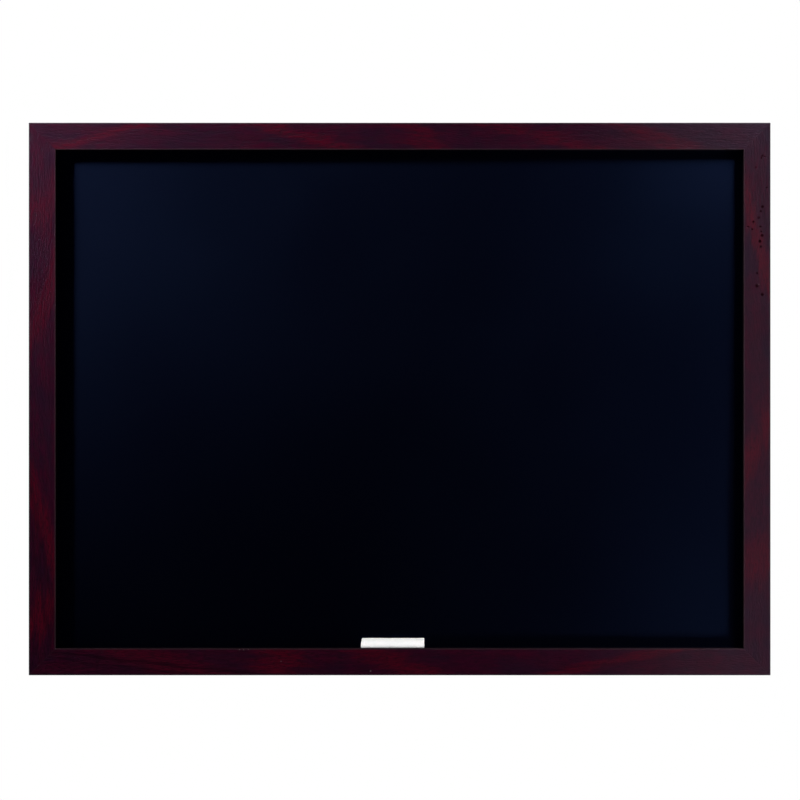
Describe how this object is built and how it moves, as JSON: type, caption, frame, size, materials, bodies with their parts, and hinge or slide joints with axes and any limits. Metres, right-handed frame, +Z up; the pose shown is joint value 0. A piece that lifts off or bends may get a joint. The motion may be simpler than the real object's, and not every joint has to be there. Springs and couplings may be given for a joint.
{
  "type": "wall chalkboard",
  "caption": "Wall-hung writing board: a dark stained mitred wood frame round a recessed blue-black chalk panel, with chalk on its ledge and swinging hanger rings behind.",
  "frame": {"origin": "centre of the wall plane, behind the board, which the two rubber bumpers touch", "axes": "+Z up, +X to the reader's right, +Y into the wall; the writing side faces -Y"},
  "size_m": [0.61, 0.024, 0.4544],
  "materials": {
    "stained_wood": "satin",
    "chalk_coating": "matte",
    "hardboard": "matte",
    "zinc_plate": "satin",
    "blued_steel": "satin",
    "rubber": "matte",
    "white_chalk": "matte"
  },
  "bodies": {
    "board": {"top_rail": "stained_wood", "bottom_rail": "stained_wood", "left_stile": "stained_wood", "right_stile": "stained_wood", "writing_panel": "chalk_coating", "backing_board": "hardboard", "panel_points": "zinc_plate", "v_nails": "blued_steel", "left_hanger_strap": "zinc_plate", "right_hanger_strap": "zinc_plate", "hanger_screws": "zinc_plate", "left_bumper": "rubber", "right_bumper": "rubber"},
    "left_ring": {"left_hanger_ring": "zinc_plate"},
    "right_ring": {"right_hanger_ring": "zinc_plate"},
    "chalk": {"chalk_stick": "white_chalk"}
  },
  "joints": [
    {"name": "left_ring_swing", "type": "hinge", "parent": "board", "child": "left_ring", "pos_m": [-0.2971, -0.00292, 0.1172], "axis": [1, 0, 0], "range_deg": [0, 173]},
    {"name": "right_ring_swing", "type": "hinge", "parent": "board", "child": "right_ring", "pos_m": [0.2971, -0.00292, 0.1172], "axis": [1, 0, 0], "range_deg": [0, 173]},
    {"name": "chalk_lift", "type": "slide", "parent": "board", "child": "chalk", "axis": [0, -1, 0], "range_m": [0, 0.04]}
  ]
}
